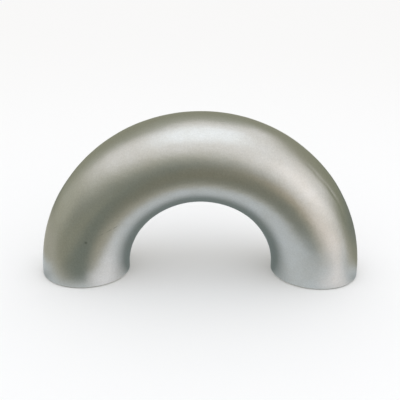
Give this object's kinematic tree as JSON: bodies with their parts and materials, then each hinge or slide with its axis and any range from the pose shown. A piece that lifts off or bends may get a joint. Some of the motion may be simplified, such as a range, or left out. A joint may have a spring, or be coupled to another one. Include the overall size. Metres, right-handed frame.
{
  "type": "return bend",
  "caption": "U-shaped hollow steel pipe fitting that turns a pipe run back on itself; each short straight end has a bevel and root face for butt welding.",
  "frame": {"origin": "midway between the centres of the two end faces, on the plane that both faces share", "axes": "+Z from the end faces up to the crown, X through the centres of both ends, Y across the bend"},
  "size_m": [0.419, 0.1142, 0.2146],
  "materials": {
    "satin_stainless": "satin, bead-blasted and pickled stainless steel"
  },
  "bodies": {
    "root": {"return_bend": "satin_stainless"}
  },
  "joints": []
}
